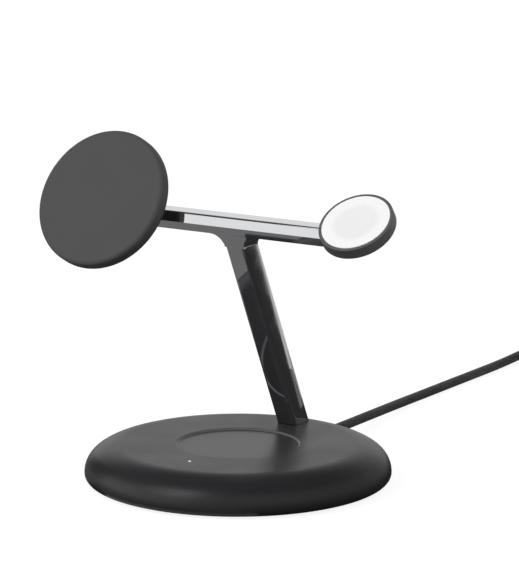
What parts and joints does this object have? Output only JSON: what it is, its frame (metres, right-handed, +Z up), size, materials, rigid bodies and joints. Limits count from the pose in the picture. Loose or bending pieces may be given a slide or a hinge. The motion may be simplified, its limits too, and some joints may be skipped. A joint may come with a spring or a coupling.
{
  "type": "wireless charging stand",
  "caption": "Wireless charging stand: weighted round base with an earbud recess, leaning polished T arm with a large phone puck and a small watch puck, braided supply cord.",
  "frame": {"origin": "centre of the rubber pad's underside, on the table under the middle of the base", "axes": "+Z up, +X along the arm's bar from the phone puck to the watch puck, -Y to the front where the pucks face and the status light is; the cord leaves at +Y"},
  "size_m": [0.1687, 0.3858, 0.1451],
  "materials": {
    "base_shell": "fine matt texture",
    "under_cover": "matt",
    "foot_rubber": "matt",
    "polished_arm": "polished",
    "cast_zinc": "bare casting",
    "ballast_steel": "plain sheet",
    "screw_steel": "zinc plated",
    "spacer_brass": "plain",
    "board_laminate": "solder mask",
    "chip_plastic": "matt",
    "capacitor_can": "plain",
    "connector_nylon": "natural",
    "coil_copper": "enamelled copper winding",
    "ferrite": "matt ceramic sheet",
    "magnet_nickel": "nickel plated",
    "led_epoxy": "clear",
    "light_guide": "clear",
    "lead_vinyl": "smooth",
    "phone_face": "soft-touch silicone skin",
    "phone_back": "matt",
    "watch_ring": "matt",
    "watch_white": "polished white",
    "relief_rubber": "matt",
    "cord_braid": "woven sleeve",
    "tie_fabric": "hook and loop strap",
    "plug_plastic": "matt",
    "plug_metal": "polished"
  },
  "bodies": {
    "root": {"base_top_shell": "base_shell", "base_bottom_cover": "under_cover", "foot_pad": "foot_rubber", "arm_casting": "polished_arm", "arm_socket": "cast_zinc", "ballast_plate": "ballast_steel", "base_screws": "screw_steel", "ballast_screws": "screw_steel", "socket_screws": "screw_steel", "clamp_screws": "screw_steel", "board_screws": "screw_steel", "phone_neck_nut": "screw_steel", "watch_neck_nut": "screw_steel", "board_spacers": "spacer_brass", "main_circuit_board": "board_laminate", "phone_board": "board_laminate", "watch_board": "board_laminate", "control_chips": "chip_plastic", "phone_board_chips": "chip_plastic", "power_inductors": "chip_plastic", "capacitors": "capacitor_can", "lead_connectors": "connector_nylon", "earbud_coil_carrier": "connector_nylon", "earbud_coil": "coil_copper", "phone_coil": "coil_copper", "watch_coil": "coil_copper", "earbud_ferrite": "ferrite", "phone_ferrite": "ferrite", "watch_ferrite": "ferrite", "phone_magnets": "magnet_nickel", "watch_magnet": "magnet_nickel", "phone_magnet_shield": "magnet_nickel", "status_led": "led_epoxy", "led_light_guide": "light_guide", "power_lead": "lead_vinyl", "phone_lead": "lead_vinyl", "watch_lead": "lead_vinyl", "earbud_lead": "lead_vinyl", "phone_front_shell": "phone_face", "phone_back_plate": "phone_back", "watch_housing": "watch_ring", "watch_disc": "watch_white", "strain_relief": "relief_rubber", "cord": "cord_braid", "cord_coil": "cord_braid", "cord_tie": "tie_fabric", "plug_shell": "plug_plastic", "plug_tip": "plug_metal"}
  },
  "joints": []
}
